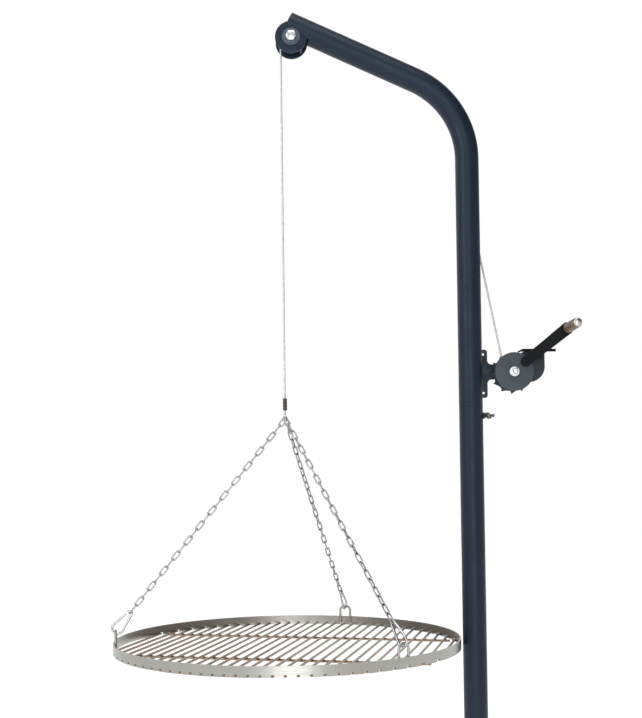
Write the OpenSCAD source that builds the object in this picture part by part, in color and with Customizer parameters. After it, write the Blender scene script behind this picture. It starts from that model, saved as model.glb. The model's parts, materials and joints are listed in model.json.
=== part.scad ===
// Swing-arm fire-pit grill: a two-section tube mast in a ground socket, a bent boom with a
// sheave, a ratchet hand winch, and a round grate hung from three chains. Millimetres.
// Origin: mast axis, underside of the socket's stop plate. +Z up, boom towards -X, winch on +X.

/* [Mast] */
// Outside diameter of the mast and boom tube
mast_d = 48.3; // [42:0.1:60]
// Wall of the mast and boom tube
mast_wall = 2.9; // [2:0.1:4]
// Height of the joint between the lower and the upper mast
seam_z = 1000; // [700:10:1300]
// Height at which the upper mast starts to bend
bend_z = 1511; // [1400:1:1900]
// Radius of the bend at the tube's axis
bend_r = 182; // [150:1:260]
// Rise of the boom above the horizontal, in degrees
boom_rise = 25; // [10:1:40]
// Length of the spigot below the joint
spigot_below = 130; // [80:5:200]
// Length of the spigot above the joint
spigot_above = 80; // [50:5:120]

/* [Ground socket] */
// Outside diameter of the socket's sleeve at its top
socket_d = 72; // [68:1:90]
// How much narrower the sleeve is at its bottom
socket_taper = 12; // [0:1:12]
// Height of the sleeve's top above ground
socket_h = 190; // [140:5:300]
// Diameter of the stop plate
stop_d = 80; // [78:1:130]
// Thickness of the stop plate
stop_t = 8; // [5:0.5:12]
// Length of the spike below ground
spike_l = 220; // [150:5:350]

/* [Grate] */
// Outside diameter of the grate
grate_d = 700; // [500:10:900]
// Height of the rim bar
rim_h = 20; // [18:1:40]
// Thickness of the rim bar
rim_t = 3; // [2:0.5:5]
// Height of the rim's top edge above ground
rim_z = 537; // [480:1:700]
// Distance between two grill rods
rod_pitch = 21.6; // [15:0.1:30]
// Diameter of a grill rod
rod_d = 5; // [4:0.5:8]
// Diameter of a cross bar
bar_d = 5; // [4:0.5:8]
// Distance of each cross bar from the centre
bar_off = 146; // [80:1:200]
// Gap between the grate's rim and the mast
grate_gap = 5.85; // [4:0.05:40]
// Diameter of the rod of a hanging eye
eye_d = 5; // [4:0.5:6]
// Height of a hanging eye above the rim
eye_h = 27; // [22:1:35]

/* [Chains and hooks] */
// Height of the bottom of the cable's end loop
loop_z = 980; // [900:1:1100]
// Wire diameter of a chain link
link_d = 3; // [2:0.5:3.5]
// Outside width of a chain link
link_w = 11; // [10:0.5:14]
// Links in each chain, an even number
link_n = 26; // [18:2:32]
// Wire diameter of a snap hook
hook_d = 5; // [4:0.5:6]

/* [Cable, sheave and winch] */
// Diameter of the wire rope
cable_d = 4; // [3:0.5:5]
// Radius of the sheave at the rope's centre
sheave_r = 22; // [18:0.5:26]
// Radius of a tip cheek
cheek_r = 33; // [31:0.5:38]
// Outside radius of the winch drum
drum_r = 14.5; // [12:0.5:18]
// Distance of the winch axle from the mast's axis
winch_x = 87; // [78:1:110]
// Height of the winch axle
winch_z = 1070; // [1062:1:1200]
// Radius of the winch's front disc
disc_r = 39.3; // [36:0.1:45]
// Tip radius of the ratchet wheel
ratchet_r = 43.4; // [40:0.1:46]
// Length of the crank arm between its two round ends
crank_l = 104; // [80:1:140]
// Length of the wooden grip
grip_l = 92; // [70:1:110]
// Diameter of the wooden grip
grip_d = 21; // [18:0.5:28]

/* [Hidden] */
$fn = 48;
over = 1;            // how far a cutting shape runs past what it cuts
slip = 0.3;          // radial play between pieces that slip over each other
run = 0.05;          // radial play of a shaft in its bearing
lap = 0.3;           // straight lengths run this far into a bend
swell = 0.02;        // and are this much larger in radius

mast_r = mast_d / 2;
bore_r = mast_r - mast_wall;
reach = grate_d / 2 + mast_r + grate_gap;       // mast axis to the hanging rope
bend_a = 90 - boom_rise;                        // angle that the tube turns through
boom_back = 19;                                 // boom end to sheave axle, along the boom
boom_drop = 28;                                 // boom axis down to the sheave axle
axle_x = -(reach - sheave_r);                   // sheave axle
bend_end = [-bend_r + bend_r * cos(bend_a), bend_z + bend_r * sin(bend_a)];
boom_l = (-axle_x + bend_end[0] - boom_drop * sin(boom_rise)) / cos(boom_rise) + boom_back;
boom_end = bend_end + boom_l * [-cos(boom_rise), sin(boom_rise)];
axle_z = boom_end[1] - boom_back * sin(boom_rise) - boom_drop * cos(boom_rise);

socket_bore = mast_r + slip + 0.05;
socket_wall = 3;
collar_h = 12;                                  // rings that hold the mast, top and bottom
sleeve_r1 = (socket_d - socket_taper) / 2;
sleeve_r2 = socket_d / 2;
spike_r = sleeve_r1 - 2;                        // spike's top, let into the stop plate
recess = 0.5;
clamp_a = -107;                                 // direction of the socket's clamp bolt
clamp_z = socket_h - 32;
clamp_d = 10;
clamp_af = 17;
wing_z = seam_z - 18;                           // wing screw below the joint
wing_d = 6;
wing_turn = 62;                                 // how the wings stand at rest, from upright
seam_gap = 0.4;

rope_r = cable_d / 2;
drum_pitch_r = drum_r + rope_r;                 // rope centre on the drum
turn_pitch = cable_d + 0.1;
turns = 7;
inner_bend_r = bend_r - bore_r + rope_r + slip; // rope centre where it slides round the bend

// Rope route in the X-Z plane: drum, round the bend's inner wall, over the sheave.
bend_c = [-bend_r, bend_z];
drum_c = [winch_x, winch_z];
sheave_c = [axle_x, axle_z];
function heading(v) = atan2(v[1], v[0]);
function right_of(a) = [sin(a), -cos(a)];
run_1 = bend_c - drum_c;
run_2 = sheave_c - bend_c;
head_1 = heading(run_1) - asin((inner_bend_r + drum_pitch_r) / norm(run_1));
head_2 = heading(run_2) + asin((inner_bend_r - sheave_r) / norm(run_2));
rope_p0 = drum_c - drum_pitch_r * right_of(head_1);
rope_p1 = bend_c + inner_bend_r * right_of(head_1);
rope_p2 = bend_c + inner_bend_r * right_of(head_2);
rope_p3 = sheave_c + sheave_r * right_of(head_2);
rope_lead = 13;                                 // straight rope left off beside the winding
tail_l = 60;                                    // rope's last length above the ferrule
slot_z = rope_p0[1] + (rope_p0[0] - mast_r) * tan(head_1 - 90) ^ -1;
slot_l = mast_wall / tan(head_1 - 90) + cable_d / sin(head_1 - 90) + 14;

// Tip: the sheave between two cheeks, in a slot in the boom's underside.
cheek_t = 4;
cheek_out = 19.1;                               // outer face of a cheek
cheek_in = cheek_out - cheek_t;
sheave_w = 14;
sheave_hub_w = 2 * cheek_in - 1;
sheave_bolt_d = 12;
tip_washer_r = 18.5;
tip_washer_t = 2.5;

// Winch, along Y. The rope leaves the drum in the plane y = 0.
plate_y = mast_r;                               // front face of the winch plate
plate_t = 4;
plate_edge = 38.5 + (mast_d - 48.3) / 2;        // right edge of the plate's ears
ear_h = 50;                                     // ears above and below the winch axle
hole_x = mast_r + 6;
hole_off = 40;
hole_r = 2.5;
winch_axle_d = 10;
drum_rear = 15;
drum_front = -17.5;
wheel_t = 6;
disc_t = 3;
arm_t = 5;
teeth = 12;
tooth_depth = 6.5;
tooth_phase = 29.2;                             // direction of one tooth tip
pawl_pin_d = 6;
pawl_pivot = [56, 37];                          // from the winch axle
pawl_gap = 1.4;                                 // pawl clear of the tooth tips at rest
crank_a = 38;                                   // direction of the crank arm
crank_start = [23, 20];                         // from the winch axle
arm_step = 12.5;                                // outer arm stands this far in front
arm_w1 = 10;
arm_w2 = 12.5;
grip_pin_d = 8;
arm_front = drum_front - disc_t - arm_t - arm_step;

// Grate and its hangers.
grate_turn = -13.25;                            // rods' direction, from +Y towards +X
eye_az = [69, 189, 309];                        // rear, left and front hangers
eye_w = 24;
eye_r = sqrt((grate_d / 2 - rim_t - eye_d / 2 - 0.3) ^ 2 - (eye_w / 2) ^ 2);
eye_top = rim_z + eye_h - eye_d / 2;
rod_count = 2 * floor((grate_d / 2 - rim_t - 2 * rod_d) / rod_pitch) + 1;
rim_bottom = rim_z - rim_h;
rod_z = rim_bottom + rod_d / 2;

// Snap hook: wide arc, narrow arc and the distance between their centres.
wide_r = 11;
narrow_r = 2 + hook_d / 2;
hook_c = 37;
hook_a = asin((wide_r - narrow_r) / hook_c);
side_l = hook_c * cos(hook_a);
touch = 0.2;                                    // left between wires that hang on each other
gate_foot = 5.5;                                // along the gate's side: nose, then gate, then pivot
gate_pivot = side_l - 5;
gate_tongue = 2;
rivet_d = 2;

// Rope's end loop, in the Y-Z plane, and the chains' first points on it.
loop_r = 8;
loop_c = loop_z + loop_r;
ferrule_low = loop_c + 1.3 * loop_r;
ferrule_l = 24;
ferrule_r = rope_r + 2.4;
strand = rope_r + 0.1;
hub_a = [43, 0, -43];                           // places on the loop: rear, left, front chain
function loop_point(k) = [-reach, loop_r * sin(hub_a[k]), loop_c - loop_r * cos(hub_a[k])];
function eye_point(k) = [-reach + eye_r * cos(eye_az[k]), eye_r * sin(eye_az[k]), eye_top];
function unit(v) = v / norm(v);
function chain_dir(k) = unit(loop_point(k) - eye_point(k));
function hub(k) = loop_point(k) + (rope_r + touch / 2) * chain_dir(k);
function wide_c(k) = eye_point(k)
    + (wide_r - (hook_d + eye_d) / 2 - touch) * chain_dir(k);
function chain_low(k) = wide_c(k) + (hook_c + narrow_r - hook_d / 2 - touch) * chain_dir(k);

module at_boom() { // +Z runs along the boom, out of its end face's centre
    translate([boom_end[0], 0, boom_end[1]]) rotate([0, -bend_a, 0]) children();
}

module along_y(x, y, z, r, l) { // cylinder from y towards +Y
    translate([x, y, z]) rotate([-90, 0, 0]) cylinder(r = r, h = l);
}

module hex_y(x, y, z, af, h) {
    translate([x, y, z]) rotate([-90, 0, 0]) cylinder(r = af / 2 / cos(30), h = h, $fn = 6);
}

module plate_xz(y, t) { // extrudes a flat X-Z outline from y towards +Y
    translate([0, y + t, 0]) rotate([90, 0, 0]) linear_extrude(t) children();
}

module arc_xz(c, r, from, angle, wire) { // round wire along an arc in the X-Z plane
    translate([c[0], 0, c[1]]) rotate([90, 0, 0]) rotate([0, 0, from])
        rotate_extrude(angle = angle) translate([r, 0]) circle(r = wire);
}

// Round bar that runs straight, round a centre and straight again, in the X-Z plane. The angles
// are those of the radius where the bend starts and ends; children start at the second straight's end.
module bent_bar(c, r, a1, a2, before, after, wire) {
    translate([c[0], 0, c[1]]) {
        rotate([0, -a1, 0]) {
            rotate([90, 0, 0]) rotate_extrude(angle = a2 - a1) translate([r, 0]) circle(r = wire);
            translate([r, 0, -before]) cylinder(r = wire + swell, h = before + lap);
        }
        rotate([0, -a2, 0]) {
            translate([r, 0, -lap]) cylinder(r = wire + swell, h = after + lap);
            translate([r, 0, after]) children();
        }
    }
}

// ---- Ground socket ----

module stop_plate() {
    color("#17181a") difference() {
        cylinder(d = stop_d, h = stop_t);
        translate([0, 0, -over]) cylinder(d = 10, h = stop_t + 2 * over);
        translate([0, 0, -over]) cylinder(r = spike_r + 0.15, h = recess + over);
    }
}

module toward_clamp() { translate([0, 0, clamp_z]) rotate([0, 0, clamp_a]) rotate([0, 90, 0]) children(); }

module socket_sleeve() { // a conical shell with a ring inside at each end
    slope = (sleeve_r2 - sleeve_r1) / (socket_h - stop_t);
    function inner(z) = sleeve_r1 + slope * (z - stop_t) - socket_wall;
    color("#17181a") difference() {
        rotate_extrude() polygon([[socket_bore, stop_t], [sleeve_r1, stop_t], [sleeve_r2, socket_h],
            [socket_bore, socket_h], [socket_bore, socket_h - collar_h],
            [inner(socket_h - collar_h), socket_h - collar_h],
            [inner(stop_t + collar_h), stop_t + collar_h], [socket_bore, stop_t + collar_h]]);
        toward_clamp() cylinder(r = clamp_d / 2 + slip, h = socket_d);
    }
}

module ground_spike() { // a rolled cone with its seam at the front and a notched tip
    tip_r = 3.5;
    wall = 3;
    seam = 0.8;
    tip_solid = 24;
    color("#17181a") difference() {
        union() {
            translate([0, 0, -spike_l]) cylinder(r1 = tip_r, r2 = spike_r, h = spike_l);
            cylinder(r = spike_r, h = recess);
        }
        translate([0, 0, -spike_l + tip_solid])
            cylinder(r1 = tip_r - 0.5, r2 = spike_r - wall, h = spike_l - tip_solid);
        cylinder(r = spike_r - wall, h = recess + over);
        translate([-seam / 2, -socket_d, -spike_l + tip_solid]) cube([seam, socket_d, spike_l - tip_solid - 10]);
        translate([-1, -10, -spike_l - over]) cube([2, 20, 6 + over]);
    }
}

module clamp_nut() {
    color("#17181a") difference() {
        toward_clamp() translate([0, 0, socket_d / 2 - 6])
            cylinder(r = clamp_af / 2 / cos(30), h = 12, $fn = 6);
        translate([0, 0, stop_t]) cylinder(r1 = sleeve_r1, r2 = sleeve_r2, h = socket_h - stop_t);
        toward_clamp() cylinder(r = clamp_d / 2 + run, h = socket_d);
    }
}

module clamp_bolt() {
    color("#202226") toward_clamp() {
        translate([0, 0, mast_r + 0.2]) cylinder(r = clamp_d / 2, h = socket_d / 2 - mast_r + 14);
        translate([0, 0, socket_d / 2 + 13]) cylinder(r = clamp_af / 2 / cos(30), h = 6.4, $fn = 6);
    }
}

// ---- Mast ----

module lower_mast() {
    foot = stop_t + 0.1;
    color("#1d2229") difference() {
        translate([0, 0, foot]) cylinder(r = mast_r, h = seam_z - seam_gap / 2 - foot);
        translate([0, 0, foot - over]) cylinder(r = bore_r, h = seam_z);
        translate([0, 0, wing_z]) rotate([0, 90, 0]) cylinder(r = wing_d / 2 + slip, h = mast_d);
    }
}

module wing_screw_nut() {
    color("#1d2229") difference() {
        translate([mast_r - 1.5, 0, wing_z]) rotate([0, 90, 0]) cylinder(r = 5.8, h = 7, $fn = 6);
        translate([0, 0, wing_z - 10]) cylinder(r = mast_r, h = 20);
        translate([0, 0, wing_z]) rotate([0, 90, 0]) cylinder(r = wing_d / 2 + run, h = mast_d);
    }
}

module wing_screw() {
    tip = bore_r + 0.4;                          // backed off, so the spigot turns freely
    hub_x = mast_r + 8;
    ring_r = 5.5;
    color("#34383d") translate([0, 0, wing_z]) rotate([0, 90, 0]) {
        translate([0, 0, tip]) cylinder(d = wing_d, h = mast_r + 21 - tip);
        translate([0, 0, hub_x]) cylinder(r = 5, h = 6);
        translate([0, 0, mast_r + 20.5]) cylinder(r = 3.6, h = 3);
        rotate([0, 0, -wing_turn]) for (s = [-1, 1])
            translate([s * (5 + ring_r - 1.6), 0, hub_x + 3]) rotate([90, 0, 0])
                translate([0, 0, -1.5]) difference() {
                    cylinder(r = ring_r, h = 3);
                    translate([0, 0, -over]) cylinder(r = ring_r - 2.6, h = 3 + 2 * over);
                }
    }
}

module bent_rod(r, ends) { // solid of the upper mast's shape, ends longer by this much
    bent_bar(bend_c, bend_r, 0, bend_a, bend_z - seam_z - seam_gap / 2 + ends, boom_l + ends, r);
}

module upper_mast() {
    tip_slot = boom_back + cheek_r + 1.5;
    color("#1d2229") difference() {
        bent_rod(mast_r, 0);
        bent_rod(bore_r, over);
        at_boom() translate([-mast_d, -cheek_out, -tip_slot])
            cube([mast_d, 2 * cheek_out, tip_slot + over]);
        along_y(axle_x, -cheek_out - tip_washer_t - 0.4, axle_z, tip_washer_r + slip,
            2 * (cheek_out + tip_washer_t + 0.4));
        translate([0, -(cable_d + 5) / 2, slot_z - slot_l / 2]) cube([mast_d, cable_d + 5, slot_l]);
    }
}

module mast_spigot() {
    wall = 2.6;
    color("#3a3f45") difference() {
        union() {
            translate([0, 0, seam_z - spigot_below]) cylinder(r = bore_r - slip, h = spigot_below + 1);
            translate([0, 0, seam_z + 0.6]) cylinder(r = bore_r, h = spigot_above);
        }
        translate([0, 0, seam_z - spigot_below - over])
            cylinder(r = bore_r - slip - wall, h = spigot_below + spigot_above + 3 * over);
    }
}

// ---- Boom tip ----

keeper_at = [cheek_r - 4.5, -50];               // keeper rivet: radius and direction from the axle
function keeper_x() = axle_x + keeper_at[0] * cos(keeper_at[1]);
function keeper_z() = axle_z + keeper_at[0] * sin(keeper_at[1]);

module tip_cheek(y) {
    difference() {
        along_y(axle_x, y, axle_z, cheek_r, cheek_t);
        along_y(axle_x, y - over, axle_z, sheave_bolt_d / 2 + run, cheek_t + 2 * over);
        along_y(keeper_x(), y - over, keeper_z(), 3 + run, cheek_t + 2 * over);
    }
}
module tip_cheek_front() { color("#191d23") tip_cheek(-cheek_out); }
module tip_cheek_rear() { color("#191d23") tip_cheek(cheek_in); }

module keeper_rivet() {
    color("#191d23") {
        along_y(keeper_x(), -cheek_out - 1, keeper_z(), 3, 2 * cheek_out + 2);
        for (y = [-cheek_out - 1.8, cheek_out]) along_y(keeper_x(), y, keeper_z(), 4.3, 1.8);
    }
}

module sheave_bolt() {
    head_y = -cheek_out - tip_washer_t;
    color("#c9ccd0") {
        hex_y(axle_x, head_y - 7.5, axle_z, 19, 7.5);
        along_y(axle_x, head_y - over, axle_z, sheave_bolt_d / 2, 2 * (cheek_out + tip_washer_t) + 14);
    }
}

module sheave_washers() {
    color("#9ba0a8") for (y = [-cheek_out - tip_washer_t, cheek_out]) difference() {
        along_y(axle_x, y, axle_z, tip_washer_r, tip_washer_t);
        along_y(axle_x, y - over, axle_z, sheave_bolt_d / 2 + run, tip_washer_t + 2 * over);
    }
}

module sheave_nut() {
    y = cheek_out + tip_washer_t;
    color("#c9ccd0") difference() {
        hex_y(axle_x, y, axle_z, 19, 10);
        along_y(axle_x, y - over, axle_z, sheave_bolt_d / 2 + run, 10 + 2 * over);
    }
}

module sheave() {
    groove = rope_r + slip;
    rim = sheave_r + rope_r + 1.2;
    root = sheave_r - 0.5;
    color("#2a2d31") translate([axle_x, 0, axle_z]) rotate([90, 0, 0]) rotate_extrude()
        difference() {
            union() {
                translate([sheave_bolt_d / 2 + run, -sheave_hub_w / 2]) square([5, sheave_hub_w]);
                translate([sheave_bolt_d / 2 + run, -sheave_w / 2])
                    square([rim - sheave_bolt_d / 2 - run, sheave_w]);
            }
            translate([sheave_r, 0]) circle(r = groove);
            polygon([[root, -groove], [rim + over, -groove - 1.6],
                [rim + over, groove + 1.6], [root, groove]]);
        }
}

// ---- Winch ----

module at_winch() { translate([winch_x, 0, winch_z]) children(); }

module winch_outline() {
    left = -winch_x + mast_r - 33;
    ear = plate_edge - winch_x;
    round_r = 6;
    body = [38, 14];
    body_r = 32.3;
    fillet = 9;
    translate([left, -ear_h]) square([ear - left - round_r, 2 * ear_h]);
    translate([left, -ear_h + round_r]) square([ear - left, 2 * (ear_h - round_r)]);
    for (s = [-1, 1]) translate([ear - round_r, s * (ear_h - round_r)]) circle(r = round_r);
    translate([left, -12]) square([-left, 31]);
    difference() { // fillets between ears and neck
        translate([ear - over, -12 - fillet]) square([fillet + over, 31 + 2 * fillet]);
        translate([ear + fillet, 19 + fillet]) circle(r = fillet);
        translate([ear + fillet, -12 - fillet]) circle(r = fillet);
    }
    circle(r = disc_r - 9);
    translate(body) circle(r = body_r);
    translate([0, body[1]]) square([body[0] + body_r, 40 - body[1]]);
}

module winch_plate() {
    color("#2b3138") difference() {
        at_winch() plate_xz(plate_y, plate_t) winch_outline();
        for (s = [-1, 1])
            along_y(hole_x, plate_y - over, winch_z + s * hole_off, hole_r, plate_t + 2 * over);
        along_y(winch_x, plate_y - over, winch_z, winch_axle_d / 2 + run, plate_t + 2 * over);
        along_y(winch_x + pawl_pivot[0], plate_y - over, winch_z + pawl_pivot[1],
            pawl_pin_d / 2 + run, plate_t + 2 * over);
    }
}

nut_y = drum_front - disc_t - run * 2 - 1.6;
module winch_axle() {
    color("#8d9299") {
        hex_y(winch_x, plate_y + plate_t, winch_z, 17, 6.4);
        along_y(winch_x, nut_y - 8.5, winch_z, winch_axle_d / 2, plate_y + plate_t + over - nut_y + 8.5);
    }
}

module axle_spacer() {
    y0 = drum_rear + wheel_t + 0.1;
    color("#8d9299") difference() {
        along_y(winch_x, y0, winch_z, 9, plate_y - y0);
        along_y(winch_x, y0 - over, winch_z, winch_axle_d / 2 + run, plate_y - y0 + 2 * over);
    }
}

module axle_washer() {
    color("#d5d7da") difference() {
        along_y(winch_x, nut_y, winch_z, 10, 1.6);
        along_y(winch_x, nut_y - over, winch_z, winch_axle_d / 2 + run, 1.6 + 2 * over);
    }
}

module axle_nut() {
    color("#d5d7da") difference() {
        hex_y(winch_x, nut_y - 7, winch_z, 15, 7);
        along_y(winch_x, nut_y - 7 - over, winch_z, winch_axle_d / 2 + run, 7 + 2 * over);
    }
}

module pawl_pin() {
    y0 = drum_rear - 2;
    color("#2b3138") {
        along_y(winch_x + pawl_pivot[0], y0, winch_z + pawl_pivot[1], pawl_pin_d / 2,
            plate_y + plate_t + 1 - y0);
        along_y(winch_x + pawl_pivot[0], y0 - 2, winch_z + pawl_pivot[1], 5, 2.2);
        along_y(winch_x + pawl_pivot[0], plate_y + plate_t, winch_z + pawl_pivot[1], 5, 2.5);
    }
}

module pawl() {
    nose_x = 15;
    nose_z = sqrt((ratchet_r + pawl_gap) ^ 2 - nose_x ^ 2);
    bar_low = ratchet_r + pawl_gap - 0.6;
    bar_h = 5.5;
    tab_x = pawl_pivot[0] + 36;
    color("#14161a") difference() {
        at_winch() plate_xz(drum_rear + 0.2, wheel_t - 0.4) {
            polygon([[nose_x, nose_z], [nose_x + 5, bar_low], [pawl_pivot[0], bar_low],
                [tab_x, bar_low - 0.5], [tab_x, bar_low + bar_h - 0.8],
                [nose_x + 9, bar_low + bar_h], [nose_x - 1, nose_z + 3]]);
            translate(pawl_pivot) circle(r = 7.5);
        }
        along_y(winch_x + pawl_pivot[0], drum_rear - over, winch_z + pawl_pivot[1],
            pawl_pin_d / 2 + run, wheel_t + 2 * over);
    }
}

module axle_hole(y, l) {
    along_y(winch_x, y - over, winch_z, winch_axle_d / 2 + run, l + 2 * over);
}

module winch_drum() {
    color("#3a424b") difference() {
        along_y(winch_x, drum_front, winch_z, drum_r, drum_rear - drum_front);
        axle_hole(drum_front, drum_rear - drum_front);
    }
}

module drum_disc() {
    color("#4a545e") difference() {
        along_y(winch_x, drum_front - disc_t, winch_z, disc_r, disc_t);
        axle_hole(drum_front - disc_t, disc_t);
    }
}

function tooth(k, r, lag) = r * [cos(tooth_phase + 360 / teeth * k + lag),
    sin(tooth_phase + 360 / teeth * k + lag)];
module ratchet_wheel() { // the steep face of each tooth leads when the load runs out
    root = ratchet_r - tooth_depth;
    color("#23282e") difference() {
        at_winch() plate_xz(drum_rear, wheel_t)
            polygon([for (k = [0 : teeth - 1]) each
                [tooth(k, root + 1, -2), tooth(k, ratchet_r, 0), tooth(k, root + 1.2, 12), tooth(k, root, 22)]]);
        axle_hole(drum_rear, wheel_t);
    }
}

module crank_outline() { // along +X from the arm's welded end
    circle(r = arm_w1);
    polygon([[0, -arm_w1], [crank_l, -arm_w2], [crank_l, arm_w2], [0, arm_w1]]);
    translate([crank_l, 0]) circle(r = arm_w2);
}

module crank_arm() {
    y1 = drum_front - disc_t;
    s1 = 24;
    s2 = 44;
    end = crank_l + arm_w2 + over;
    color("#1b1e22") difference() {
        translate([winch_x + crank_start[0], 0, winch_z + crank_start[1]]) rotate([0, -crank_a, 0])
            intersection() {
                translate([0, 0, 0]) plate_xz(arm_front - over, 40) crank_outline();
                translate([0, 0, -20]) linear_extrude(40)
                    polygon([[-arm_w1 - over, y1], [s1, y1], [s2, y1 - arm_step], [end, y1 - arm_step],
                        [end, arm_front], [s2 - 1, arm_front], [s1 - 1, y1 - arm_t], [-arm_w1 - over, y1 - arm_t]]);
            }
        along_y(grip_at[0], arm_front - over, grip_at[1], grip_pin_d / 2 + run, arm_t + 2 * over);
    }
}
grip_at = [winch_x + crank_start[0] + crank_l * cos(crank_a),
    winch_z + crank_start[1] + crank_l * sin(crank_a)];

module grip_pin() {
    cap_y = arm_front - grip_l - 1;
    color("#c9c9c6") {
        along_y(grip_at[0], cap_y - over, grip_at[1], grip_pin_d / 2, grip_l + arm_t + 3.5);
        along_y(grip_at[0], arm_front + arm_t, grip_at[1], 6, 2.5);
        translate([grip_at[0], cap_y, grip_at[1]]) rotate([90, 0, 0]) rotate_extrude() intersection() {
            translate([0, -8.5]) circle(r = 12);
            translate([0, -0.9]) square([8.5, 10]);
        }
    }
}

module grip() {
    r = grip_d / 2;
    hole = grip_pin_d / 2 + 0.1;
    low = 0.5;
    color("#8a6a4c") translate([grip_at[0], arm_front - 0.4, grip_at[1]]) rotate([90, 0, 0])
        rotate_extrude() difference() {
            union() {
                translate([hole, low]) square([r - 3 - hole, grip_l - 2 * low]);
                translate([hole, low + 3]) square([r - hole, grip_l * 0.3]);
                polygon([[hole, low + 3 + grip_l * 0.3], [r, low + 3 + grip_l * 0.3],
                    [r - 1.6, grip_l - 9], [hole, grip_l - 9]]);
                translate([r - 3, low + 3]) circle(r = 3);
                translate([r - 7.6, grip_l - 9]) circle(r = 6);
            }
            translate([-over, grip_l - low]) square([r + 2 * over, 10]);
            translate([-10, low]) square([10 + hole, grip_l]);
        }
}

module rope_winding() {
    color("#b9bcbf") for (k = [0 : turns - 1])
        translate([winch_x, (k - (turns - 1) / 2) * turn_pitch, winch_z]) rotate([90, 0, 0])
            rotate_extrude() translate([drum_pitch_r, 0]) circle(r = rope_r);
}

// ---- Rope ----

module rope_run() {
    color("#b9bcbf") bent_bar(bend_c, inner_bend_r, head_1 - 90, head_2 - 90,
        norm(rope_p1 - rope_p0) - rope_lead, norm(rope_p3 - rope_p2), rope_r)
        translate([-sheave_r, 0, -lap]) rotate([90, 0, 0])
            rotate_extrude(angle = 270 - head_2) translate([sheave_r, 0]) circle(r = rope_r);
}

module rope_fall() {
    top = axle_z - 1;
    low = ferrule_low + ferrule_l + tail_l;
    color("#b9bcbf") translate([-reach, 0, low]) cylinder(r = rope_r, h = top - low);
}

module rope_tail() {
    color("#b9bcbf") translate([-reach, 0, ferrule_low + ferrule_l]) cylinder(r = rope_r, h = tail_l);
}

module rope_ferrule() {
    color("#5d564d") translate([-reach, 0, ferrule_low]) {
        for (s = [-1, 1]) translate([0, s * strand, 0]) cylinder(r = ferrule_r, h = ferrule_l);
        translate([-ferrule_r, -strand, 0]) cube([2 * ferrule_r, 2 * strand, ferrule_l]);
    }
}

module rope_loop() { // a drop-shaped eye of rope, its two strands going into the ferrule
    low_a = -25;
    n = 14;
    sides = 8;
    arc_pts = [for (i = [0 : n]) let (a = -low_a + 0 - i * (180 - 2 * low_a) / n)
        [loop_r * cos(a), loop_c - loop_z + loop_r * sin(a) - loop_r]];
    pts = concat([[strand, ferrule_low - loop_z - loop_r]], arc_pts, [[-strand, ferrule_low - loop_z - loop_r]]);
    m = len(pts);
    function way(i) = unit(pts[min(i + 1, m - 1)] - pts[max(i - 1, 0)]);
    rings = [for (i = [0 : m - 1]) let (t = i == 0 || i == m - 1 ? [0, i == 0 ? -1 : 1] : way(i))
        for (j = [0 : sides - 1]) let (b = 360 / sides * j)
            [rope_r * cos(b), pts[i][0] - t[1] * rope_r * sin(b), pts[i][1] + t[0] * rope_r * sin(b)]];
    sides_f = [for (i = [0 : m - 2]) for (j = [0 : sides - 1]) let (k = (j + 1) % sides)
        [i * sides + j, i * sides + k, (i + 1) * sides + k, (i + 1) * sides + j]];
    ends_f = [[for (j = [sides - 1 : -1 : 0]) j], [for (j = [0 : sides - 1]) (m - 1) * sides + j]];
    color("#b9bcbf") translate([-reach, 0, loop_c]) polyhedron(rings, concat(sides_f, ends_f));
}

// ---- Chains and snap hooks ----

module chain_frame(p, d) { // +Z along d, +X outwards in the hanger's own upright plane
    az = atan2(-d[1], -d[0]);
    translate(p) rotate([0, 0, az]) rotate([0, -acos(d[2]), 0]) children();
}

module chain_link(inner) { // in the X-Z plane, centred
    r = (link_w - link_d) / 2;
    straight = 0.02 * round(50 * (inner + link_d - 2 * r));
    for (s = [0, 180]) rotate([0, s, 0]) {
        arc_xz([0, straight / 2], r, 0, 180, link_d / 2);
        translate([r, 0, -straight / 2]) cylinder(r = link_d / 2, h = straight);
    }
}

// Turn of a chain's top link, nearest to about, that sets it square across the loop.
function top_turn(k, about) = let (d = chain_dir(k), az = atan2(-d[1], -d[0]),
    tx = cos(hub_a[k]) * sin(az) * d[2] + sin(hub_a[k]) * sqrt(1 - d[2] ^ 2),
    turn = atan2(-tx, cos(hub_a[k]) * cos(az))) turn + 180 * round((about - turn) / 180);

module chain(k, about) {
    twist = top_turn(k, about);
    low = chain_low(k);
    high = hub(k);
    inner = norm(high - low) / link_n;
    color("#a9adb2") chain_frame(low, unit(high - low))
        for (i = [0 : link_n - 1])
            translate([0, 0, (i + 0.5) * inner])
                rotate([0, 0, 90 + 90 * i + twist * i / (link_n - 1)]) chain_link(inner + touch);
}
module chain_rear() { chain(0, 90); }
module chain_left() { chain(1, 0); }
module chain_front() { chain(2, 90); }

module hook_frame(k) { chain_frame(wide_c(k), chain_dir(k)) children(); }

module along_side(s) { // +Z runs up the gate's side of the hook, from s along it
    translate([wide_r * cos(hook_a), 0, wide_r * sin(hook_a)]) rotate([0, -hook_a, 0])
        translate([0, 0, s]) children();
}

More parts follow.
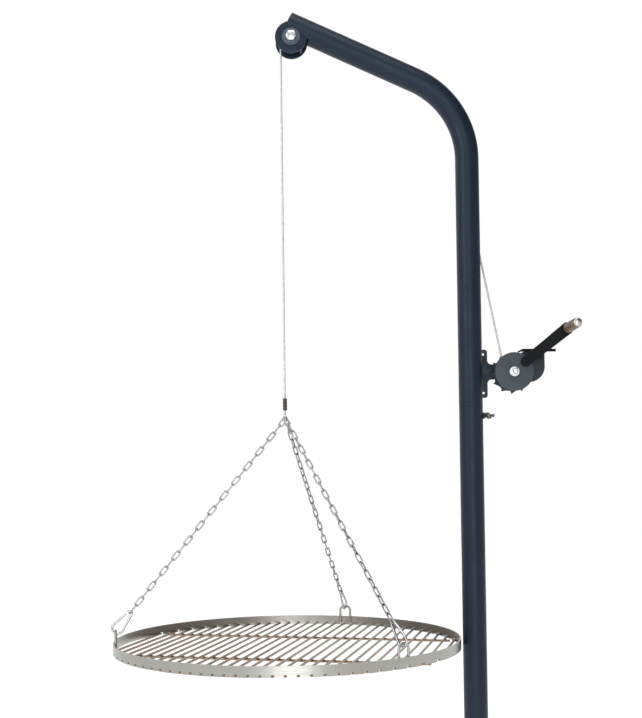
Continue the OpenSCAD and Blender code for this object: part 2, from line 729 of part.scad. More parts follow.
module snap_hook() {
    wire = hook_d / 2;
    arc_xz([0, 0], wide_r, 180 - hook_a, 180 + 2 * hook_a, wire);
    arc_xz([0, hook_c], narrow_r, hook_a, 180 - 2 * hook_a, wire);
    mirror([1, 0, 0]) along_side(-lap) cylinder(r = wire + swell, h = side_l + 2 * lap);
    along_side(-lap) cylinder(r = wire + swell, h = gate_foot - 0.5 + lap);
    along_side(gate_pivot + 3.2) cylinder(r = wire + swell, h = side_l - gate_pivot - 3.2 + lap);
    difference() {
        along_side(gate_pivot) intersection() {
            union() {
                rotate([90, 0, 0]) translate([0, 0, -gate_tongue / 2]) cylinder(r = 2.2, h = gate_tongue);
                translate([-2.2, -gate_tongue / 2, 0]) cube([4.4, gate_tongue, 4]);
            }
            translate([0, 0, -3]) cylinder(r = wire, h = 8);
        }
        along_side(gate_pivot) rotate([90, 0, 0]) translate([0, 0, -5]) cylinder(r = rivet_d / 2, h = 10);
    }
}
module snap_hook_rear() { color("#c3c6ca") hook_frame(0) snap_hook(); }
module snap_hook_left() { color("#c3c6ca") hook_frame(1) snap_hook(); }
module snap_hook_front() { color("#c3c6ca") hook_frame(2) snap_hook(); }

module hook_gate() {
    difference() {
        along_side(gate_foot) cylinder(r = hook_d / 2 + 0.2, h = gate_pivot + 1.9 - gate_foot);
        along_side(gate_pivot - 4) translate([-5, -gate_tongue / 2 - 0.15, 0]) cube([10, gate_tongue + 0.3, 10]);
        along_side(gate_pivot) rotate([90, 0, 0]) translate([0, 0, -5]) cylinder(r = rivet_d / 2 + run, h = 10);
    }
}
module hook_gate_rear() { color("#c3c6ca") hook_frame(0) hook_gate(); }
module hook_gate_left() { color("#c3c6ca") hook_frame(1) hook_gate(); }
module hook_gate_front() { color("#c3c6ca") hook_frame(2) hook_gate(); }

module gate_rivets() {
    color("#8d9095") for (k = [0 : 2]) hook_frame(k) along_side(gate_pivot)
        rotate([90, 0, 0]) translate([0, 0, -hook_d / 2 - 0.4]) cylinder(d = rivet_d, h = hook_d + 0.8);
}

// ---- Grate ----

module at_grate(z) { translate([-reach, 0, z]) children(); }

module grate_eyes() {
    foot = 14;
    color("#b4b6b8") at_grate(0) for (a = eye_az) rotate([0, 0, a]) translate([eye_r, 0, 0]) {
        for (s = [-1, 1]) translate([0, s * eye_w / 2, rim_z - foot])
            cylinder(d = eye_d, h = eye_top - eye_w / 2 - rim_z + foot);
        translate([0, 0, eye_top - eye_w / 2]) rotate([0, 0, 90]) rotate([90, 0, 0])
            rotate_extrude(angle = 180) translate([eye_w / 2, 0]) circle(d = eye_d);
    }
}

module each_rod() {
    half = (rod_count - 1) / 2;
    for (i = [-half : half]) {
        q = i * rod_pitch;
        l = 2 * sqrt((grate_d / 2 - 0.6) ^ 2 - (abs(q) + rod_d / 2) ^ 2);
        rotate([0, 0, grate_turn]) translate([q, -l / 2, 0]) rotate([-90, 0, 0]) children_rod(l);
    }
}
module children_rod(l) { cylinder(d = rod_d, h = l); }

module grate_rim() {
    half = (rod_count - 1) / 2;
    color("#9fa4a8") at_grate(rim_bottom) rotate([0, 0, grate_turn]) difference() {
        cylinder(d = grate_d, h = rim_h, $fn = 96);
        translate([0, 0, -over]) cylinder(r = grate_d / 2 - rim_t, h = rim_h + 2 * over, $fn = 96);
        for (i = [-half : half]) translate([i * rod_pitch - rod_d / 2 - 0.1, -grate_d / 2, -over])
            cube([rod_d + 0.2, grate_d, rod_d + 0.1 + over]);
    }
}

module grill_rods() { color("#8f8779") at_grate(rod_z) each_rod(); }

module cross_bars() {
    l = 2 * sqrt((grate_d / 2 - rim_t - 1) ^ 2 - (bar_off + bar_d / 2) ^ 2);
    color("#8f8779") at_grate(rod_z - (rod_d + bar_d) / 2) rotate([0, 0, grate_turn])
        for (s = [-1, 1]) translate([-l / 2, s * bar_off, 0]) rotate([0, 90, 0]) cylinder(d = bar_d, h = l);
}

stop_plate();
socket_sleeve();
ground_spike();
clamp_nut();
clamp_bolt();
lower_mast();
wing_screw_nut();
wing_screw();
upper_mast();
mast_spigot();
tip_cheek_front();
tip_cheek_rear();
keeper_rivet();
sheave_bolt();
sheave_washers();
sheave_nut();
sheave();
winch_plate();
winch_axle();
axle_spacer();
axle_washer();
axle_nut();
pawl_pin();
pawl();
winch_drum();
drum_disc();
ratchet_wheel();
crank_arm();
grip_pin();
grip();
rope_winding();
rope_run();
rope_fall();
rope_tail();
rope_ferrule();
rope_loop();
chain_left();
chain_rear();
chain_front();
snap_hook_left();
snap_hook_rear();
snap_hook_front();
hook_gate_left();
hook_gate_rear();
hook_gate_front();
gate_rivets();
grate_eyes();
grate_rim();
grill_rods();
cross_bars();
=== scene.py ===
"""Swing-arm fire-pit grill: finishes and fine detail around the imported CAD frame. Metres."""

import json
import math

import bmesh
import bpy
from mathutils import Matrix, Vector, noise

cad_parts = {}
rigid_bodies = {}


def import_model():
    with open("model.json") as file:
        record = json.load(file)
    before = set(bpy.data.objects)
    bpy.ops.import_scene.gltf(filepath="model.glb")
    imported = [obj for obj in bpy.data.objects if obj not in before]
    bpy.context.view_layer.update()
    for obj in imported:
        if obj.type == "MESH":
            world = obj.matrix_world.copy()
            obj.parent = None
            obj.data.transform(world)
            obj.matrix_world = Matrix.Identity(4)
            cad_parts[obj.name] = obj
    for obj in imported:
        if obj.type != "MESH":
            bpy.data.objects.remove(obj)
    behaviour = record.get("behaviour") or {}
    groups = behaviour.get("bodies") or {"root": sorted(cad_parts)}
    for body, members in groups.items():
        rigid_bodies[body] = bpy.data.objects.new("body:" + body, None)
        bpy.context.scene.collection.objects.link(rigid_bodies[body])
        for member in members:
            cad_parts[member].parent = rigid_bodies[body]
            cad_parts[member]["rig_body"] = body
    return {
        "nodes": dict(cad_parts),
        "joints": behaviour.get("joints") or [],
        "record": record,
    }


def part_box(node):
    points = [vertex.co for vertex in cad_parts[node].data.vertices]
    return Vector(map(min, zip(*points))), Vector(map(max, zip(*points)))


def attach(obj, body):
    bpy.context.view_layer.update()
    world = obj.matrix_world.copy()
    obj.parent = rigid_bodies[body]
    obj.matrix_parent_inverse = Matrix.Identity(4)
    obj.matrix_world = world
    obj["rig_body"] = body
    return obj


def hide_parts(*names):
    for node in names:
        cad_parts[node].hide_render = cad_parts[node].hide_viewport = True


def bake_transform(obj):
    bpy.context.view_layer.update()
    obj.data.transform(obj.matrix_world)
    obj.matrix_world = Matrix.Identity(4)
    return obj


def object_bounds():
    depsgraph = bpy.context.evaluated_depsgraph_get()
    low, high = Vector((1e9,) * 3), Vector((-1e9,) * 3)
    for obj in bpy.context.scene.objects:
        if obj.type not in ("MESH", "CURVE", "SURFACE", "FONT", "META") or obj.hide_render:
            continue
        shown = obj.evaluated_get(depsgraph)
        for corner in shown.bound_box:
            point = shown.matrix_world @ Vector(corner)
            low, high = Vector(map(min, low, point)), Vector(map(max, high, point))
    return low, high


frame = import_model()
CAD_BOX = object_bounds()
NODES = frame["nodes"]
JOINTS = {j["name"]: j for j in frame["joints"]}
MM = 0.001
TAU = 2 * math.pi
X, Y, Z = Vector((1, 0, 0)), Vector((0, 1, 0)), Vector((0, 0, 1))


def joint_at(name):
    return Vector(JOINTS[name]["pos_m"])


def span(node, axis):
    """Lowest and highest value of a CAD node's box along one axis."""
    low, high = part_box(node)
    return low[axis], high[axis]


# ---------------------------------------------------------------- camera

CAMERA_AT = (-0.3043, -2.2947, 0.8678)
CAMERA_TILT, CAMERA_YAW, CAMERA_ROLL = 1.637, 0.077, -0.7485
CAMERA_LENS, CAMERA_SHIFT_Y = 56.34, 0.115


def make_camera():
    data = bpy.data.cameras.new("camera")
    data.lens, data.sensor_width, data.shift_y = CAMERA_LENS, 36.0, CAMERA_SHIFT_Y
    data.clip_start, data.clip_end = 0.05, 50
    cam = bpy.data.objects.new("camera", data)
    bpy.context.scene.collection.objects.link(cam)
    turn = [
        Matrix.Rotation(math.radians(a), 4, k)
        for a, k in ((CAMERA_YAW, "Z"), (90 + CAMERA_TILT, "X"), (CAMERA_ROLL, "Z"))
    ]
    cam.matrix_world = Matrix.Translation(CAMERA_AT) @ turn[0] @ turn[1] @ turn[2]
    bpy.context.scene.camera = cam


make_camera()

# ---------------------------------------------------------------- materials


class Nodes:
    """Short calls for building one material's node tree."""

    def __init__(self, name):
        self.material = bpy.data.materials.new(name)
        self.material.use_nodes = True
        self.tree = self.material.node_tree
        self.shader = self.tree.nodes["Principled BSDF"]

    def new(self, kind, inputs=(), **settings):
        node = self.tree.nodes.new(kind)
        for key, value in settings.items():
            setattr(node, key, value)
        for key, value in dict(inputs).items():
            if isinstance(value, bpy.types.NodeSocket):
                self.tree.links.new(value, node.inputs[key])
            else:
                node.inputs[key].default_value = value
        return node

    def coords(self, stretch=(1, 1, 1)):
        place = self.new("ShaderNodeTexCoord")
        return self.new(
            "ShaderNodeMapping", {"Vector": place.outputs["Object"], "Scale": stretch}
        ).outputs["Vector"]

    def noise(self, vector, scale, detail=4.0, rough=0.55):
        inputs = {"Vector": vector, "Scale": scale, "Detail": detail, "Roughness": rough}
        return self.new("ShaderNodeTexNoise", inputs).outputs["Fac"]

    def remap(self, value, low, high, start=0.3, stop=0.7):
        inputs = {"Value": value, "From Min": start, "From Max": stop, "To Min": low, "To Max": high}
        return self.new("ShaderNodeMapRange", inputs).outputs["Result"]

    def blend(self, share, a, b):
        node = self.new("ShaderNodeMix", {"Factor": share}, data_type="RGBA")
        for key, value in (("A", a), ("B", b)):
            socket = [s for s in node.inputs if s.name == key and s.type == "RGBA"][0]
            if isinstance(value, bpy.types.NodeSocket):
                self.tree.links.new(value, socket)
            else:
                socket.default_value = (*value, 1)
        return [s for s in node.outputs if s.type == "RGBA"][0]

    def bump(self, height, strength, distance, normal=None):
        inputs = {"Height": height, "Strength": strength, "Distance": distance}
        if normal is not None:
            inputs["Normal"] = normal
        return self.new("ShaderNodeBump", inputs).outputs["Normal"]

    def set(self, **inputs):
        for key, value in inputs.items():
            socket = self.shader.inputs[key.replace("_", " ")]
            if isinstance(value, bpy.types.NodeSocket):
                self.tree.links.new(value, socket)
            else:
                socket.default_value = value
        return self.material


def coated(name, dark, light, rough, grain=0.00006, grain_scale=1100, tint=(1, 1, 1), coat=0.0, gloss=0.3):
    """Powder coat or paint: slight mottling, a fine orange peel and faint rubbed patches."""
    n = Nodes(name)
    spot = n.coords()
    mottle = n.noise(spot, 9, 5)
    rubbed = n.noise(spot, 60, 6, 0.7)
    peel = n.noise(spot, grain_scale, 3)
    wave = n.noise(spot, grain_scale / 5, 2)
    color = n.blend(n.remap(mottle, 0, 1), dark, light)
    color = n.blend(n.remap(rubbed, 0, 0.25, 0.58, 0.75), color, tuple(1.8 * c for c in light))
    normal = n.bump(wave, 0.35, grain * 1.5, n.bump(peel, 0.5, grain))
    return n.set(
        Base_Color=color,
        Roughness=n.remap(n.noise(spot, 35, 5), rough * 0.86, rough * 1.16),
        Normal=normal,
        Specular_Tint=(*tint, 1),
        Specular_IOR_Level=gloss,
        Coat_Weight=coat,
        Coat_Roughness=0.12,
    )


def metal(name, bright, dull, rough, stretch=(1, 1, 1), scale=420, depth=0.00002, stain=0.35, stains=40):
    """Bare metal: lines along the direction that stretch leaves long, and faint stains."""
    n = Nodes(name)
    spot, lines = n.coords(), n.coords(stretch)
    streak = n.noise(lines, scale, 5, 0.6)
    cloud = n.noise(spot, stains, 6, 0.65)
    color = n.blend(n.remap(cloud, 0, stain, 0.35, 0.75), bright, dull)
    color = n.blend(n.remap(streak, 0.0, 0.28), color, tuple(c * 0.62 for c in bright))
    return n.set(
        Base_Color=color,
        Metallic=1.0,
        Roughness=n.remap(streak, rough * 0.78, rough * 1.3),
        Normal=n.bump(streak, 0.45, depth),
    )


def rope_metal(name):
    """Galvanised strands: grey and matt down between the strands and brighter on top of them; the dark grey
    in the grooves is painted shade.
    """
    n = Nodes(name)
    spot = n.coords()
    # strand height from the mesh: the mask for the painted shade between the strands
    strand_height_for_painted_shade = n.new("ShaderNodeAttribute", attribute_name="strand").outputs["Fac"]
    cloud = n.noise(spot, 90, 5)
    top = n.blend(n.remap(cloud, 0, 1), (0.82, 0.82, 0.81), (0.66, 0.66, 0.65))
    return n.set(
        # painted shade: the grooves between strands get the dark grey, the strand tops the brighter steel
        Base_Color=n.blend(strand_height_for_painted_shade, (0.26, 0.26, 0.25), top),
        Metallic=0.7,
        Roughness=n.remap(cloud, 0.36, 0.5),
        Normal=n.bump(n.noise(spot, 2600, 2), 0.4, 0.00005),
    )


def wood(name):
    """Oiled hardwood, its grain along Y: growth rings, fibres and pores."""
    n = Nodes(name)
    long_way = n.coords((1, 0.07, 1))
    rings = n.new(
        "ShaderNodeTexWave",
        {"Vector": n.coords((1, 0.12, 1)), "Scale": 120, "Distortion": 5.5, "Detail": 3, "Detail Scale": 1.6},
        bands_direction="X",
    ).outputs["Fac"]
    fibre = n.noise(long_way, 900, 6, 0.7)
    pore = n.noise(n.coords((1, 0.05, 1)), 1900, 2)
    color = n.blend(rings, (0.185, 0.105, 0.056), (0.088, 0.045, 0.022))
    color = n.blend(n.remap(fibre, 0, 0.55), color, (0.07, 0.038, 0.022))
    color = n.blend(n.remap(pore, 0, 0.5, 0.6, 0.75), color, (0.035, 0.02, 0.012))
    return n.set(
        Base_Color=color,
        Roughness=n.remap(fibre, 0.42, 0.62),
        Normal=n.bump(pore, 0.5, 0.00012, n.bump(fibre, 0.4, 0.00008)),
        Coat_Weight=0.06,
        Coat_Roughness=0.4,
    )


NAVY = (0.70, 0.82, 1.0)
LOOKS = {
    "mast_paint": coated(
        "mast_powder_coat", (0.0045, 0.0095, 0.019), (0.007, 0.0135, 0.026), 0.42, tint=NAVY
    ),
    "socket_paint": coated(
        "socket_gloss_black", (0.008, 0.008, 0.0085), (0.014, 0.014, 0.015), 0.24, coat=0.4
    ),
    "bolt_black": coated("bolt_black_oxide", (0.018, 0.019, 0.021), (0.035, 0.036, 0.04), 0.36),
    "spigot_steel": coated("spigot_coat", (0.03, 0.034, 0.04), (0.05, 0.055, 0.06), 0.5),
    "winch_paint": coated(
        "winch_powder_coat", (0.022, 0.027, 0.034), (0.032, 0.038, 0.046), 0.52, 0.00009, 800, NAVY
    ),
    "disc_paint": coated(
        "disc_powder_coat", (0.040, 0.047, 0.054), (0.054, 0.063, 0.072), 0.55, 0.00009, 800, NAVY
    ),
    "arm_paint": coated("arm_satin_black", (0.005, 0.0055, 0.0065), (0.008, 0.009, 0.011), 0.50, gloss=0.07),
    "sheave_coat": coated("sheave_black_oxide", (0.008, 0.012, 0.02), (0.014, 0.019, 0.03), 0.42, gloss=0.2),
    "wing_steel": metal("wing_screw_zinc", (0.20, 0.20, 0.20), (0.11, 0.105, 0.10), 0.42, scale=900),
    "bright_steel": metal(
        "bolt_bright_zinc", (0.66, 0.67, 0.69), (0.46, 0.455, 0.45), 0.32, scale=700, depth=0.000006
    ),
    "washer_steel": metal("washer_dull_zinc", (0.10, 0.12, 0.16), (0.055, 0.065, 0.085), 0.42, scale=800),
    "rope_steel": rope_metal("rope_galvanised_strands"),
    "ferrule_metal": metal(
        "ferrule_aged_copper_tin", (0.11, 0.09, 0.068), (0.055, 0.043, 0.03), 0.48, scale=900, stain=0.7
    ),
    "chain_steel": metal(
        "chain_welded_steel",
        (0.42, 0.42, 0.42),
        (0.18, 0.165, 0.15),
        0.24,
        scale=1100,
        stain=0.8,
        stains=130,
    ),
    "hook_steel": metal("hook_polished_steel", (0.50, 0.51, 0.52), (0.30, 0.295, 0.285), 0.18, scale=1100),
    "rim_stainless": metal(
        "rim_brushed_stainless",
        (0.42, 0.42, 0.40),
        (0.24, 0.215, 0.17),
        0.30,
        stretch=(0.02, 0.02, 1),
        scale=1500,
        depth=0.00001,
        stain=0.45,
        stains=3,
    ),
    "rod_stainless": metal(
        "rod_heat_tinted_stainless",
        (0.30, 0.218, 0.145),
        (0.13, 0.082, 0.046),
        0.24,
        stretch=(1, 0.12, 1),
        scale=900,
        depth=0.00003,
        stain=0.9,
        stains=16,
    ),
    "grip_wood": wood("grip_oiled_wood"),
    "grip_metal": metal(
        "grip_cap_polished", (0.50, 0.48, 0.44), (0.32, 0.29, 0.26), 0.28, scale=900, depth=0.000008
    ),
}
WELD_DARK = coated("weld_bead_painted", (0.010, 0.011, 0.013), (0.018, 0.019, 0.022), 0.34)
WELD_NAVY = coated("weld_bead_powder_coat", (0.014, 0.019, 0.028), (0.02, 0.026, 0.038), 0.42, tint=NAVY)
WELD_BARE = metal(
    "weld_bead_bare", (0.50, 0.46, 0.42), (0.24, 0.20, 0.16), 0.33, scale=900, stain=0.8, stains=160
)

for part in frame["record"]["subparts"]:
    mesh = NODES[part["node"]].data
    mesh.materials.clear()
    mesh.materials.append(LOOKS[part["material_slot"]])
SLOT_OF = {p["node"]: p["material_slot"] for p in frame["record"]["subparts"]}

# ---------------------------------------------------------------- mesh tools


def new_mesh(name, verts, faces, sharp=None):
    mesh = bpy.data.meshes.new(name)
    mesh.from_pydata([tuple(v) for v in verts], [], faces)
    bm = bmesh.new()
    bm.from_mesh(mesh)
    bmesh.ops.recalc_face_normals(bm, faces=bm.faces)
    bm.to_mesh(mesh)
    bm.free()
    mesh.shade_smooth()
    if sharp:
        mesh.set_sharp_from_angle(angle=math.radians(sharp))
    obj = bpy.data.objects.new(name, mesh)
    bpy.context.scene.collection.objects.link(obj)
    return obj


def skin(rings, closed=False):
    """Faces over a row of rings of points; open rows get a flat cap at each end."""
    count, wide = len(rings), len(rings[0])
    verts = [p for ring in rings for p in ring]
    faces = []
    for i in range(count if closed else count - 1):
        a, b = i * wide, (i + 1) % count * wide
        faces += [(a + j, a + (j + 1) % wide, b + (j + 1) % wide, b + j) for j in range(wide)]
    if not closed:
        faces += [tuple(range(wide - 1, -1, -1)), tuple(range((count - 1) * wide, count * wide))]
    return verts, faces


def place(parts, origin, axis):
    """Moves geometry built round +Z so that it stands at origin along axis."""
    verts, faces = parts
    turn = Vector(axis).to_track_quat("Z", "X")
    return [Vector(origin) + turn @ Vector(v) for v in verts], faces


def joined(*parts):
    verts, faces = [], []
    for v, f in parts:
        faces += [tuple(i + len(verts) for i in face) for face in f]
        verts += list(v)
    return verts, faces


def lathe(profile, count=64, closed=False):
    """Turns (radius, height) points round +Z. An open profile is capped by its end rings."""
    rings = [
        [(r * math.cos(TAU * j / count), r * math.sin(TAU * j / count), h) for j in range(count)]
        for r, h in profile
    ]
    return skin(rings, closed)


def hexagon(across, height, hole=0.0, both=False, count=72):
    """A hexagon head, or a nut if it has a hole, with its corners chamfered by a 30 degree cone."""
    flat = across / 2
    circle = flat * 0.96

    def reach(j):
        a = (TAU * j / count + math.pi / 6) % (math.pi / 3) - math.pi / 6
        return flat / math.cos(a)

    def ring(radius, z):
        return [
            (radius(j) * math.cos(TAU * j / count), radius(j) * math.sin(TAU * j / count), z(j))
            for j in range(count)
        ]

    def drop(j):
        return (reach(j) - circle) * math.tan(math.radians(30))

    foot = (lambda j: drop(j)) if both else (lambda j: 0)
    rings = [
        ring(reach, foot), ring(reach, lambda j: height - drop(j)), ring(lambda j: circle, lambda j: height)
    ]
    if both:
        rings.insert(0, ring(lambda j: circle, lambda j: 0))
    if hole:
        lead = hole * 0.12
        rings += [
            ring(lambda j: hole + lead, lambda j: height), ring(lambda j: hole, lambda j: height - lead)
        ]
        rings += [ring(lambda j: hole, lambda j: lead), ring(lambda j: hole + lead, lambda j: 0)]
    return skin(rings, closed=bool(hole))


def threaded(radius, length, pitch, count=30):
    """A screw thread round +Z from 0 to length, with a chamfered far end."""
    depth, steps = pitch * 0.55, max(8, int(length / pitch * 7))
    rings = []
    for i in range(steps + 1):
        z = length * i / steps
        ring = []
        for j in range(count):
            phase = (z / pitch - j / count) % 1
            r = radius - depth * abs(2 * phase - 1) ** 1.3
            r = min(r, radius - max(0, z - (length - pitch)) * 0.8)
            ring.append((r * math.cos(TAU * j / count), r * math.sin(TAU * j / count), z))
        rings.append(ring)
    return skin(rings)


def frames_along(path, closed=False):
    """Unit normals and binormals that turn as little as they can along a path."""
    count = len(path)
    tangents = []
    for i in range(count):
        a = path[(i - 1) % count] if closed or i else path[0]
        b = path[(i + 1) % count] if closed or i < count - 1 else path[-1]
        tangents.append((b - a).normalized())
    normal = tangents[0].orthogonal().normalized()
    out = []
    for t in tangents:
        normal = (normal - normal.dot(t) * t).normalized()
        out.append((normal, t.cross(normal)))
    return out


def sweep(path, section, closed=False):
    """Skins a section, given as (across, up) points for each station, along a path."""
    path = [Vector(p) for p in path]
    rings = []
    for i, (p, (n, b)) in enumerate(zip(path, frames_along(path, closed))):
        rings.append([p + n * u + b * v for u, v in section(i)])
    return skin(rings, closed)


def resample(path, step):
    """The same line with points a step apart."""
    path = [Vector(p) for p in path]
    ways = [0.0]
    for a, b in zip(path, path[1:]):
        ways.append(ways[-1] + (b - a).length)
    count = max(2, round(ways[-1] / step))
    out, k = [], 0
    for i in range(count + 1):
        s = ways[-1] * i / count
        while k < len(path) - 2 and ways[k + 1] < s:
            k += 1
        part = (s - ways[k]) / max(1e-12, ways[k + 1] - ways[k])
        out.append(path[k].lerp(path[k + 1], part))
    return out, ways[-1]


def arc(centre, radius, start, stop, step=3):
    """Points in the X-Z plane, angles in degrees from +X towards +Z."""
    count = max(2, int(abs(stop - start) / step))
    angles = [math.radians(start + (stop - start) * i / count) for i in range(count + 1)]
    return [centre + radius * (math.cos(a) * X + math.sin(a) * Z) for a in angles]


def show(obj, material, body, stands_for=()):
    obj.data.materials.clear()
    obj.data.materials.append(material)
    if body:
        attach(obj, body)
    if stands_for:
        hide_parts(*stands_for)
    return obj


def piece(name, parts, slot, body, stands_for=(), sharp=35):
    return show(new_mesh(name, *parts, sharp=sharp), LOOKS[slot], body, stands_for)


def broken_edges(node, width, segments=2):
    """A copy of a CAD plate or block whose sharp edges are slightly rounded, in place of the node."""
    source = NODES[node]
    obj = bpy.data.objects.new(f"{node}_finished", source.data.copy())
    bpy.context.scene.collection.objects.link(obj)
    bm = bmesh.new()
    bm.from_mesh(obj.data)
    bmesh.ops.remove_doubles(bm, verts=bm.verts, dist=0.000004)
    bmesh.ops.dissolve_limit(bm, angle_limit=math.radians(0.4), verts=bm.verts, edges=bm.edges)
    bm.to_mesh(obj.data)
    bm.free()
    edge = obj.modifiers.new("edges", "BEVEL")
    edge.width, edge.segments, edge.limit_method = width, segments, "ANGLE"
    edge.angle_limit = math.radians(38)
    made = bpy.data.meshes.new_from_object(obj.evaluated_get(bpy.context.evaluated_depsgraph_get()))
    obj.modifiers.clear()
    obj.data = made
    made.shade_smooth()
    made.set_sharp_from_angle(angle=math.radians(42))
    return show(obj, LOOKS[SLOT_OF[node]], source["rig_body"], [node])


def bead(path, size, closed=False, seed=0.0, ripple=2.2 * MM):
    """A weld bead: a round cord along a path, swollen at each ripple and a little uneven."""
    points, length = resample(list(path) + ([path[0]] if closed else []), 0.5 * MM)
    if closed:
        points = points[:-1]

    def section(i):
        s = i * 0.5 * MM
        uneven = noise.noise(points[i] * 220 + Vector((seed, 0, 0)))
        r = size * (0.92 + 0.10 * abs(math.sin(math.pi * s / ripple)) + 0.14 * uneven)
        if not closed:
            r *= min(1.0, 0.25 + 0.75 * math.sqrt(min(s, length - s) / size + 0.001))
        return [(r * math.cos(TAU * j / 10), r * math.sin(TAU * j / 10)) for j in range(10)]

    return sweep(points, section, closed)


def circle_path(centre, radius, axis, count=72, start=0.0, share=1.0):
    turn = Vector(axis).to_track_quat("Z", "X")
    spots = [start + TAU * share * i / count for i in range(count + (share < 1))]
    return [Vector(centre) + turn @ Vector((radius * math.cos(a), radius * math.sin(a), 0)) for a in spots]


def blobs(spots, size, flat=0.7, seed=1.0):
    """Small uneven tack welds, each at (centre, outward direction)."""
    parts = []
    for i, (centre, out) in enumerate(spots):
        profile = []
        for k in range(7):
            a = math.pi * k / 6 - math.pi / 2
            r = size * (1 + 0.18 * noise.noise(Vector((i * 1.7 + seed, k * 0.9, 0))))
            profile.append((max(r * math.cos(a), size * 0.04), r * flat * math.sin(a)))
        parts.append(place(lathe(profile, 12), centre, out))
    return joined(*parts)


# ---------------------------------------------------------------- rope

ROPE_R = (span("rope_fall", 0)[1] - span("rope_fall", 0)[0]) / 2
LAY = 25 * MM  # length in which a strand turns once
STRANDS, PER_STRAND = 6, 4


def rope_parts(path, step=1.5 * MM, spin=0.0):
    """Six twisted strands as one lobed tube, with how high each point stands on its strand, which the rope
    material also uses to paint shade into the grooves.
    """
    points, length = resample(path, step)
    step = length / (len(points) - 1)
    wide = STRANDS * PER_STRAND
    lifts = [abs(math.cos(math.pi * j / PER_STRAND)) for j in range(wide)]

    def section(i):
        turn = TAU * i * step / LAY + spin
        out = []
        for j in range(wide):
            a, r = TAU * j / wide + turn, ROPE_R * (0.84 + 0.16 * lifts[j])
            out.append((r * math.cos(a), r * math.sin(a)))
        return out

    return sweep(points, section), [lifts[j] for _ in points for j in range(wide)], length


def rope(name, path, body, stands_for, spin=0.0):
    parts, lifts, _ = rope_parts(path, spin=spin)
    obj = new_mesh(name, *parts)
    # the strand attribute carries the strand height that the rope material turns into painted shade in the
    # grooves
    obj.data.attributes.new("strand", "FLOAT", "POINT").data.foreach_set("value", lifts)
    return show(obj, LOOKS["rope_steel"], body, stands_for)


WINCH = joint_at("winch_turn")
SHEAVE = joint_at("sheave_spin")
HANG = joint_at("grate_sway")
DRUM_PITCH_R = (span("rope_winding", 2)[1] - span("rope_winding", 2)[0]) / 2 - ROPE_R
SHEAVE_PITCH_R = SHEAVE.x - HANG.x
TUBE_R = span("lower_mast", 0)[1]
TUBE_BORE_R = TUBE_R - 2.9 * MM
BEND_R, BEND_Z = 182 * MM, 1511 * MM
BEND_C = Vector((-BEND_R, 0, BEND_Z))
BOOM_RISE = math.radians(25)
ROPE_BEND_R = BEND_R - TUBE_BORE_R + ROPE_R + 0.3 * MM
FERRULE_TOP = span("rope_ferrule", 2)[1]


def heading(v):
    return math.degrees(math.atan2(v.z, v.x))


def rope_route():
    """From the drum round the inside of the bend, over the sheave and straight down."""
    one, two = BEND_C - WINCH, SHEAVE - BEND_C
    rise = heading(one) - math.degrees(math.asin((ROPE_BEND_R + DRUM_PITCH_R) / one.length))
    fall = heading(two) + math.degrees(math.asin((ROPE_BEND_R - SHEAVE_PITCH_R) / two.length))
    on_drum = arc(WINCH, DRUM_PITCH_R, rise + 120, rise + 90, 5)
    return (
        on_drum
        + arc(BEND_C, ROPE_BEND_R, rise - 90, fall - 90)
        + arc(SHEAVE, SHEAVE_PITCH_R, fall - 90, 180)
    )


rope("rope_over_sheave", rope_route(), "boom", ["rope_run"])

fall_top = Vector((HANG.x, 0, span("rope_fall", 2)[1] + 0.6 * MM))
fall_end = Vector((HANG.x, 0, FERRULE_TOP))
fall_path = [fall_top.lerp(fall_end, i / 24) for i in range(25)]
fall = rope("rope_hanging", fall_path, None, ["rope_fall", "rope_tail"])
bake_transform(fall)

wind_low, wind_high = span("rope_winding", 1)
TURNS = 7
wind_path = []
for i in range(TURNS * 60 + 1):
    a = TAU * i / 60 + math.pi
    y = wind_low + ROPE_R + (wind_high - wind_low - 2 * ROPE_R) * i / (TURNS * 60)
    wind_path.append(WINCH + Vector((DRUM_PITCH_R * math.cos(a), y, DRUM_PITCH_R * math.sin(a))))
rope("rope_on_drum", wind_path, "winch_drum", ["rope_winding"])

LOOP_R = 8 * MM
loop_c = span("rope_loop", 2)[0] + ROPE_R + LOOP_R
ferrule_low = span("rope_ferrule", 2)[0]
STRAND_OFF = ROPE_R + 0.1 * MM


def loop_path():
    def at(y, z):
        return Vector((HANG.x, y, z))

    side = [math.radians(25 - 230 * i / 40) for i in range(41)]
    bottom = [at(LOOP_R * math.cos(a), loop_c + LOOP_R * math.sin(a)) for a in side]
    inside = ferrule_low + 3 * MM
    return [
        at(STRAND_OFF, inside),
        at(STRAND_OFF, ferrule_low),
        *bottom,
        at(-STRAND_OFF, ferrule_low),
        at(-STRAND_OFF, inside),
    ]


rope("rope_eye", loop_path(), "grate", ["rope_loop"])


def ferrule():
    """A pressed sleeve round both strands, squeezed at three places, slightly flared at its ends."""
    low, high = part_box("rope_ferrule")
    half_x, half_y = (high.x - low.x) / 2, (high.y - low.y) / 2
    rings, count = [], 60
    for i in range(count + 1):
        s = i / count
        press = sum(math.exp(-(((s - c) / 0.055) ** 2)) for c in (0.22, 0.5, 0.78))
        end = min(s, 1 - s) * (high.z - low.z)
        swell = 1 - 0.13 * press - 0.35 * max(0, 1 - end / (0.9 * MM)) ** 2
        ring = []
        for j in range(40):
            a = TAU * j / 40
            c, d = math.cos(a), math.sin(a)
            x = half_x * swell * math.copysign(abs(c) ** 0.8, c)
            y = half_y * (1 - 0.4 * (1 - swell)) * math.copysign(abs(d) ** 0.8, d)
            ring.append((HANG.x + x, y, low.z + s * (high.z - low.z)))
        rings.append(ring)
    return skin(rings)


piece("ferrule_crimped", ferrule(), "ferrule_metal", "grate", ["rope_ferrule"])

# ---------------------------------------------------------------- boom tip

